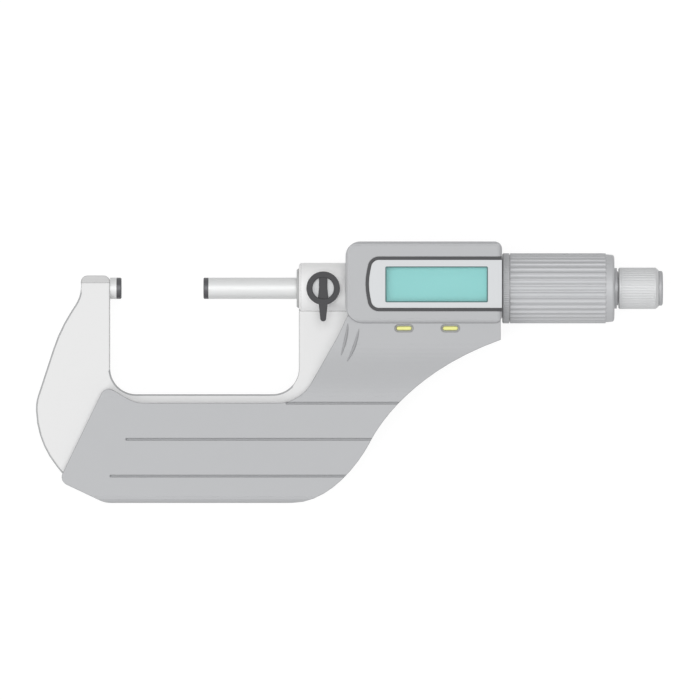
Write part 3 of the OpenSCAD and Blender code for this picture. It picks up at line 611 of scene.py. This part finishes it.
@dataclass
class Covers:
    """The two moulded covers and the screws that hold them.

    Attributes:
        body: The body that carries them.
        grip_front: Height of the grip's front face.
        deck_front: Height of the deck below the display housing.
        rise: The y at which the climb from the grip to the deck starts and ends.
        crease_size: Largest width and height of a crease.
        crease_sunk: How deep the middle of a crease's section lies in the face.
        crease_end: Share of the full section that is left at a crease's ends.
        crease_swell: Power that makes the section swell fast near the ends.
        crease_steps: Number of sections along a crease.
        crease_sides: Number of points round a section.
        creases: For each crease its first end, the point that it bends towards, and its last end.
    """

    body: str = "frame_and_display"
    grip_front: float = 7.2
    deck_front: float = 13.0
    rise: Pair = (-33.0, -17.0)
    crease_size: Pair = (0.9, 0.42)
    crease_sunk: float = 0.05
    crease_end: float = 0.05
    crease_swell: float = 0.6
    crease_steps: int = 33
    crease_sides: int = 12
    creases: tuple[tuple[Pair, Pair, Pair], ...] = (
        ((69.0, -10.6), (68.7, -15.2), (66.9, -20.6)),
        ((72.4, -12.2), (71.4, -17.9), (68.7, -22.4)))

    def build(self) -> None:
        """Dresses both covers and their screws and raises the creases, whose darker plastic is painted shade.
        """
        dress(MOULDED, "front_cover", "rear_cover")
        dress(SCREW, "cover_screws")
        for number, line in enumerate(self.creases, 1):
            self.crease(number, np.array(line, float))

    def face(self, y: np.ndarray) -> np.ndarray:
        """Height of the front face at y: a climb of s * s * (3 - 2 s) from the grip to the deck."""
        share = np.clip((y - self.rise[0]) / (self.rise[1] - self.rise[0]), 0, 1)
        return self.grip_front + (self.deck_front - self.grip_front) * share * share * (3 - 2 * share)

    def crease(self, number: int, corners: np.ndarray) -> None:
        """Raises one lens-shaped crease in the moulding, beside the housing, in a darker plastic that is
        painted shade along the fold.

        The curve a (1 - t)^2 + 2 m t (1 - t) + c t^2 runs from a to c and bends towards m. It
        carries an ellipse whose width and height go as end + sin(pi t) ^ swell.

        Args:
            number: Its number, for its name.
            corners: The points a, m and c, one row each.
        """
        t = np.linspace(0, 1, self.crease_steps)[:, None]
        plan = corners[0] * (1 - t) ** 2 + corners[1] * 2 * t * (1 - t) + corners[2] * t ** 2
        path = np.column_stack([plan, self.face(plan[:, 1]) - self.crease_sunk])
        along = np.gradient(path, axis=0)
        along /= np.linalg.norm(along, axis=1, keepdims=True)
        up = np.tile([0.0, 0.0, 1.0], (len(path), 1))
        across = np.cross(up, along)
        across /= np.linalg.norm(across, axis=1, keepdims=True)
        swell = self.crease_end + np.sin(np.pi * t[:, :, None]) ** self.crease_swell
        turn = np.linspace(0, 2 * np.pi, self.crease_sides, endpoint=False)
        arch = np.column_stack([np.cos(turn) * self.crease_size[0] / 2, np.sin(turn) * self.crease_size[1]])
        points, faces = swept(path, across, up, arch[None] * swell, False)
        first = list(range(self.crease_sides))
        last = [len(points) - self.crease_sides + corner for corner in first]
        piece = new_piece(f"cover_crease_{number}", points, faces,
                          CREASE_PAINTED_SHADE.material(f"crease_{number}_finish"), self.body,
                          [first[::-1], last])
        piece.data.shade_smooth()


@dataclass
class Display:
    """The display with its border, panel, window, liquid crystal cell, board and buttons.

    Attributes:
        body: The body that carries them.
        edge_width: Width of the dark edge round the window, which is painted shade.
        edge_height: How far that edge stands out of the panel.
        edge_corner: Radius of its corners.
        edge_out: Share of its width by which its middle lies outside the window.
        edge_steps: Number of sections along it.
        edge_sides: Number of points round a section.
        window_tint: What the window lets through, as red, green and blue.
        window_sheen: Colour of the window's reflection.
        window_gloss: Least share of that reflection, and what a faint smear adds.
        window_rough: Least roughness of that reflection, and what the smear adds.
        window_smear: Fineness of the smear, in waves a metre.
        teal: The liquid crystal cell's darker and lighter colour.
        cell_grain: Fineness of its upright grain, in waves a metre.
        cell_drawn: Share of that fineness that is left along the grain.
        cell_clouds: Fineness of its cloudiness, in waves a metre.
        cell_cloud: Share of the cloudiness in its change of colour. The rest is its grain.
        cell_rough: Its least roughness, and what the grain adds.
    """

    body: str = "frame_and_display"
    edge_width: float = 0.34
    edge_height: float = 0.07
    edge_corner: float = 0.3
    edge_out: float = 0.3
    edge_steps: int = 64
    edge_sides: int = 8
    window_tint: Colour = (0.97, 0.995, 0.99)
    window_sheen: Colour = (226, 236, 236)
    window_gloss: Pair = (0.045, 0.02)
    window_rough: Pair = (0.06, 0.1)
    window_smear: float = 120.0
    teal: tuple[Colour, Colour] = ((137, 207, 206), (149, 217, 216))
    cell_grain: float = 5200.0
    cell_drawn: float = 0.03
    cell_clouds: float = 45.0
    cell_cloud: float = 0.65
    cell_rough: Pair = (0.35, 0.1)

    def window_material(self) -> bpy.types.Material:
        """Clear plastic with a weak reflection over full transparency."""
        material = bpy.data.materials.new("display_window_finish")
        graph = Graph(material)
        smear = graph.noise(graph.place(), self.window_smear, 3)
        clear = graph.node("ShaderNodeBsdfTransparent", None, {"Color": (*self.window_tint, 1)})
        gloss = graph.node("ShaderNodeBsdfPrincipled", None, {
            "Base Color": linear(self.window_sheen), "Specular IOR Level": 0.5,
            "Roughness": smear * self.window_rough[1] + self.window_rough[0]})
        share = smear * self.window_gloss[1] + self.window_gloss[0]
        mixed = graph.node("ShaderNodeMixShader", None, {
            0: share, 1: graph.take(clear), 2: graph.take(gloss)})
        graph.finish(graph.take(mixed))
        return material

    def cell_material(self) -> bpy.types.Material:
        """The pale teal polariser: a faint upright grain over a slight cloudiness."""
        material = bpy.data.materials.new("lcd_finish")
        graph = Graph(material)
        place = graph.place()
        grain = graph.noise(graph.stretched(place, (1, self.cell_drawn, 1)), self.cell_grain)
        cloud = graph.noise(place, self.cell_clouds)
        share = (grain * (1 - self.cell_cloud) + cloud * self.cell_cloud).clipped()
        colour = graph.tinted(share, linear(self.teal[0]), linear(self.teal[1]))
        shader = graph.node("ShaderNodeBsdfPrincipled", None, {
            "Base Color": colour, "Roughness": self.cell_rough[0] + grain * self.cell_rough[1],
            "Specular IOR Level": 0.2})
        graph.finish(graph.take(shader))
        return material

    def window_shade_edge(self) -> None:
        """Lays a thin dark edge round the window: painted shade along the window's rim.

        The path is a rounded rectangle: each point of a circle moves out to its own corner.
        Its profile is a low ellipse that stands on the panel.
        """
        low, high = (np.array(corner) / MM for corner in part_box("display_window"))
        turn = np.linspace(0, 2 * np.pi, self.edge_steps, endpoint=False) + np.pi / self.edge_steps
        ray = np.column_stack([np.cos(turn), np.sin(turn), np.zeros(self.edge_steps)])
        half = (high - low) / 2 + self.edge_width * self.edge_out
        middle = (high + low) / 2
        middle[2] = high[2]
        path = middle + np.sign(ray) * (half - self.edge_corner) * [1, 1, 0] + ray * self.edge_corner
        up = np.tile([0.0, 0.0, 1.0], (self.edge_steps, 1))
        side = np.linspace(0, 2 * np.pi, self.edge_sides, endpoint=False)
        ring = np.column_stack([np.cos(side) * self.edge_width / 2, np.sin(side) * self.edge_height])
        points, faces = swept(path, -ray, up, ring, True)
        piece = new_piece("window_shade_edge", points, faces, WINDOW_EDGE_SHADE.material("window_edge_finish"),
                          self.body)
        piece.data.shade_smooth()

    def build(self) -> None:
        """Dresses every piece of the display and lays a dark edge of painted shade round its window."""
        self.window_shade_edge()
        dress(BORDER, "display_border")
        dress(PANEL, "display_panel")
        put_on("display_window", self.window_material())
        put_on("lcd", self.cell_material())
        dress(DARK, "contact_strips", "button_switches")
        dress(BOARD, "circuit_board")
        dress(SCREW, "board_screws")
        dress(BUTTON, "button_left", "button_right")


@dataclass
class Encoder:
    """The rotary sensor round the spindle."""

    def build(self) -> None:
        """Dresses the rotor, its bush and key, and the stator."""
        dress(SATIN_TURNED, "rotor_bush")
        dress(SCREW, "rotor_key")
        dress(BRASS, "rotor_disc")
        dress(BOARD, "stator")


@dataclass
class Sleeve:
    """The fixed sleeves that the thimble slides over, with the scale on the outer one.

    Attributes:
        body: The body that carries them.
        radius: Outer radius of the graduated sleeve.
        zero_x: Where the thimble's edge stands at the smallest measure.
        smallest: The smallest measure.
        travel: Length of the scale.
        line_width: Width of a line.
        half_line: Length of a half millimetre's line, below the base line.
        whole_line: Length of a whole millimetre's line, above the base line.
        figure_line: Length of a line that has a figure.
        overhang: How far the base line runs past the scale at each end.
        raised: How far the marks stand out of the sleeve.
        thick: Thickness of a mark, most of which goes down into the sleeve.
        figure: Size of the figures' type.
        figure_up: Height of the figures' middle above the base line.
        figure_step: Millimetres from one figure to the next.
    """

    body: str = "frame_and_display"
    radius: float = 9.0
    zero_x: float = 116.1
    smallest: int = 25
    travel: int = 25
    line_width: float = 0.14
    half_line: float = 1.3
    whole_line: float = 1.7
    figure_line: float = 2.3
    overhang: float = 1.0
    raised: float = 0.02
    thick: float = 0.08
    figure: float = 1.9
    figure_up: float = 3.6
    figure_step: int = 5

    def plated(self, piece: bpy.types.Object) -> None:
        """Gives a piece of flat marks its thickness, inwards from its faces.

        Args:
            piece: The piece.
        """
        solid = piece.modifiers.new("thickness", "SOLIDIFY")
        solid.thickness = self.thick * MM
        solid.offset = -1

    def wrapped(self, plan: np.ndarray) -> np.ndarray:
        """Lays flat points [along X, round the sleeve] on the sleeve: the angle is the arc by the radius.

        Args:
            plan: Points in mm, the second number counted from the top of the sleeve towards +Y.

        Returns:
            Points in mm.
        """
        angle = plan[:, 1] / self.radius
        r = self.radius + self.raised
        return np.column_stack([plan[:, 0], r * np.sin(angle), r * np.cos(angle)])

    def lines(self) -> None:
        """Draws the base line and one line for each half millimetre, each a thin curved plate.

        Whole millimetres stand above the base line and halves below it, and a millimetre that
        has a figure is longer. A plate is a strip of rows with a left and a right point in each.
        """
        rows = 5
        count = np.arange(2 * self.travel + 1)
        whole = np.where(count % (2 * self.figure_step) == 0, self.figure_line, self.whole_line)
        length = np.where(count % 2 == 0, whole, -self.half_line)
        x = self.zero_x + count / 2
        low = np.column_stack([x - self.line_width / 2, np.minimum(length, 0)])
        high = np.column_stack([x + self.line_width / 2, np.maximum(length, 0)])
        low = np.vstack([low, [self.zero_x - self.overhang, -self.line_width / 2]])
        high = np.vstack([high, [self.zero_x + self.travel + self.overhang, self.line_width / 2]])
        y = low[:, 1:] + (high - low)[:, 1:] * np.linspace(0, 1, rows)
        left = np.stack([np.broadcast_to(low[:, :1], y.shape), y], -1)
        right = np.stack([np.broadcast_to(high[:, :1], y.shape), y], -1)
        plan = np.stack([left, right], 2).reshape(-1, 2)
        shift = 2 * rows * np.arange(len(low))
        faces = (grid_faces(rows, 2)[None] + shift[:, None, None]).reshape(-1, 4)
        piece = new_piece("sleeve_lines", self.wrapped(plan), faces,
                          MARKS.material("sleeve_lines_finish"), self.body)
        self.plated(piece)

    def figures(self) -> None:
        """Sets a plain number above every longer line, upright as the display is read."""
        plans: list[np.ndarray] = []
        caps: list[list[int]] = []
        shift = 0
        for step in range(0, self.travel + 1, self.figure_step):
            text = bpy.data.curves.new("figure", "FONT")
            text.body = str(self.smallest + step)
            text.size = 1.0
            text.align_x = "CENTER"
            text.align_y = "CENTER"
            text.resolution_u = 2
            holder = bpy.data.objects.new("figure", text)
            bpy.context.scene.collection.objects.link(holder)
            seen = holder.evaluated_get(bpy.context.evaluated_depsgraph_get())
            flat = bpy.data.meshes.new_from_object(seen)
            bpy.data.objects.remove(holder)
            points = np.empty(len(flat.vertices) * 3, np.float32)
            flat.vertices.foreach_get("co", points)
            points = points.reshape(-1, 3)[:, :2] * self.figure
            plans.append(points + [self.zero_x + step, self.figure_up])
            caps += [[corner + shift for corner in face.vertices] for face in flat.polygons]
            shift += len(points)
        piece = new_piece("sleeve_figures", self.wrapped(np.vstack(plans)), np.empty((0, 4), int),
                          MARKS.material("sleeve_figures_finish"), self.body, caps)
        self.plated(piece)

    def build(self) -> None:
        """Dresses the sleeves and the adjusting nut and draws the scale."""
        dress(GROUND, "inner_sleeve")
        dress(SATIN_TURNED, "graduated_sleeve")
        dress(SCREW, "adjusting_nut")
        self.lines()
        self.figures()


@dataclass
class SpindleAndThimble:
    """The measuring spindle and the fluted thimble that turns it.

    Attributes:
        body: The body that carries them.
        collar: Where the knurled band starts and ends.
        collar_r: Radius of the collar under the band.
        knurls: Number of ribs round the band.
        knurl_points: Number of points round a rib.
        knurl_height: How far a rib stands out of the collar.
        knurl_sunk: How deep the band's ends go down into the collar.
        knurl_slope: Length of the slope at each end of the band.
        crisp: Angle in degrees from which an edge of the band shades sharp.
    """

    body: str = "spindle_and_thimble"
    collar: Pair = (116.3, 118.15)
    collar_r: float = 10.6
    knurls: int = 110
    knurl_points: int = 8
    knurl_height: float = 0.1
    knurl_sunk: float = 0.1
    knurl_slope: float = 0.08
    crisp: float = 35.0

    def knurled_collar(self) -> None:
        """Rolls a band of fine straight ribs round the thimble's near end.

        The radius at an angle a is r + h * |sin(n a / 2)|. The band's ends go down into the collar.
        """
        start, end = self.collar
        angle = np.linspace(0, 2 * np.pi, self.knurls * self.knurl_points, endpoint=False)
        wave = self.collar_r + self.knurl_height * abs(np.sin(angle * self.knurls / 2))
        sunk = np.full_like(wave, self.collar_r - self.knurl_sunk)
        x = np.array([start, start + self.knurl_slope, end - self.knurl_slope, end])
        r = np.stack([sunk, wave, wave, sunk])
        points = np.stack([np.broadcast_to(x[:, None], r.shape), r * np.cos(angle), r * np.sin(angle)], -1)
        piece = new_piece("thimble_knurl", points.reshape(-1, 3), grid_faces(4, len(angle), True, True),
                          KNURL.material("thimble_knurl_finish"), self.body)
        piece.data.shade_smooth()
        piece.data.set_sharp_from_angle(angle=math.radians(self.crisp))

    def build(self) -> None:
        """Dresses the spindle, its tip and the thimble, and knurls the collar."""
        dress(GROUND, "spindle")
        dress(TIP, "spindle_tip")
        dress(SATIN, "thimble")
        self.knurled_collar()


@dataclass
class Ratchet:
    """The slipping knob at the thimble's end."""

    def build(self) -> None:
        """Dresses the knob and what is inside it."""
        dress(SATIN_TURNED, "ratchet_hub")
        dress(SCREW, "ratchet_screw", "ratchet_disc", "ratchet_spring")
        dress(KNOB, "ratchet_knob")
        dress(CAP_TURNED, "ratchet_cap")


@dataclass
class Lock:
    """The lever that clamps the spindle.

    Attributes:
        centre: Where the axis of its bolt stands.
    """

    centre: Pair = (61.5, 0)

    def build(self) -> None:
        """Dresses the lever, its bolt and the shoe."""
        dress(LEVER, "lock_lever")
        dress(BOLT, "lock_bolt", centre=self.centre)
        dress(BRASS, "lock_shoe")


@dataclass
class Battery:
    """The button cell, its holder and its cap.

    Attributes:
        centre: Where the axis of the cell and the cap stands.
    """

    centre: Pair = (81.485, -20.6)

    def build(self) -> None:
        """Dresses the cell, what carries it and the cap over it."""
        dress(DARK, "battery_holder", "battery_cap_seal")
        dress(CAP_FACED, "battery", "battery_cap", centre=self.centre)
        dress(BRASS, "battery_spring", "battery_leads")


@dataclass(frozen=True)
class Lamp:
    """A soft square lamp that looks at the object's middle.

    Attributes:
        name: Its name.
        at: Its place, in mm.
        watts: Its power.
        size: Its side, in mm.
    """

    name: str
    at: tuple[float, float, float]
    watts: float
    size: float


@dataclass
class Studio:
    """The floor, the light and the camera, which aren't part of the object.

    Attributes:
        floor_z: Height of the floor that the object rests on.
        floor_gap: How far the floor lies below that, so that the two faces don't meet.
        floor_reach: Distance from the middle of the floor to its sides.
        floor_points: Number of points along a side of it.
        floor_grey: Lightness of the floor where it takes light and shadow.
        floor_glow: Strength of its own white.
        floor_white: Share of its own white in what the camera sees.
        view_width: Width of the camera's view.
        centre: The point that the camera and the lamps look at.
        lens: The camera's focal length.
        sensor: Width of its sensor.
        seen: Nearest and farthest distance that it sees, in metres.
        world_light: Strength of the even light from all sides.
        lamps: The lamps.
    """

    floor_z: float = -11.2
    floor_gap: float = 0.02
    floor_reach: float = 2500.0
    floor_points: int = 9
    floor_grey: float = 0.7
    floor_glow: float = 1.12
    floor_white: float = 0.82
    view_width: float = 213.4
    centre: Pair = (69.66, -18.81)
    lens: float = 1000.0
    sensor: float = 36.0
    seen: Pair = (0.1, 30.0)
    world_light: float = 0.41
    lamps: tuple[Lamp, ...] = (
        Lamp("key", (70, 100, 980), 4.3, 650),
        Lamp("fill", (-520, -420, 760), 2.9, 600))

    def background_share(self, graph: Graph) -> Signal:
        """Tells the rays that show the background from those that light the object.

        Args:
            graph: The tree of the floor's material or of the world.

        Returns:
            1 for rays of the camera, of gloss and of glass, and 0 for any other.
        """
        path = graph.node("ShaderNodeLightPath")
        rays = [graph.take(path, f"Is {kind} Ray") for kind in ("Camera", "Glossy", "Transmission")]
        return (rays[0] + rays[1] + rays[2]).clipped()

    def make_floor(self) -> None:
        """Lays a pale floor that keeps a soft shadow and otherwise reads as white."""
        material = bpy.data.materials.new("floor_finish")
        graph = Graph(material)
        grey = self.floor_grey
        pale = graph.node("ShaderNodeBsdfDiffuse", None, {"Color": (grey, grey, grey, 1)})
        white = graph.node("ShaderNodeEmission", None, {"Color": (1, 1, 1, 1), "Strength": self.floor_glow})
        share = self.background_share(graph) * self.floor_white
        mixed = graph.node("ShaderNodeMixShader", None, {0: share, 1: graph.take(pale), 2: graph.take(white)})
        graph.finish(graph.take(mixed))
        across = np.linspace(-self.floor_reach, self.floor_reach, self.floor_points)
        x, y = np.meshgrid(across, across)
        points = np.stack([x, y, np.full_like(x, self.floor_z - self.floor_gap)], -1).reshape(-1, 3)
        mesh = bpy.data.meshes.new("floor")
        mesh.from_pydata((points * MM).tolist(), [], grid_faces(*x.shape).tolist())
        mesh.materials.append(material)
        floor = bpy.data.objects.new("floor", mesh)
        bpy.context.scene.collection.objects.link(floor)

    def make_world(self) -> None:
        """Lights everything evenly and shows white behind it."""
        world = bpy.data.worlds.new("studio")
        graph = Graph(world)
        light = self.background_share(graph) * (1 - self.world_light) + self.world_light
        back = graph.node("ShaderNodeBackground", None, {"Color": (1, 1, 1, 1), "Strength": light})
        graph.finish(graph.take(back))
        bpy.context.scene.world = world

    def make_lamp(self, lamp: Lamp) -> None:
        """Hangs one lamp that the camera doesn't see.

        Args:
            lamp: The lamp.
        """
        data = bpy.data.lights.new(lamp.name, "AREA")
        data.energy = lamp.watts
        data.shape = "SQUARE"
        data.size = lamp.size * MM
        holder = bpy.data.objects.new(lamp.name, data)
        holder.location = Vector(lamp.at) * MM
        aim = Vector((*self.centre, 0)) * MM - holder.location
        holder.rotation_mode = "QUATERNION"
        holder.rotation_quaternion = aim.to_track_quat("-Z", "Y")
        holder.visible_camera = False
        bpy.context.scene.collection.objects.link(holder)

    def make_camera(self) -> None:
        """Looks straight down on the display, with the photograph's width of view."""
        data = bpy.data.cameras.new("camera")
        data.lens = self.lens
        data.sensor_width = self.sensor
        data.clip_start, data.clip_end = self.seen
        camera = bpy.data.objects.new("camera", data)
        camera.location = Vector((*self.centre, self.view_width * self.lens / self.sensor)) * MM
        bpy.context.scene.collection.objects.link(camera)
        bpy.context.scene.camera = camera

    def build(self) -> None:
        """Sets the whole stage."""
        bpy.context.scene.view_settings.view_transform = "Standard"
        self.make_camera()
        self.make_world()
        self.make_floor()
        for lamp in self.lamps:
            self.make_lamp(lamp)


def main() -> None:
    """Builds the stage and every sub-assembly."""
    logging.basicConfig(level=logging.INFO, format="%(name)s: %(message)s")
    for part in (Studio(), FrameArm(), Covers(), Display(), Encoder(), Sleeve(), SpindleAndThimble(),
                 Ratchet(), Lock(), Battery()):
        part.build()
    bpy.context.view_layer.update()


if __name__ == "__main__":
    main()
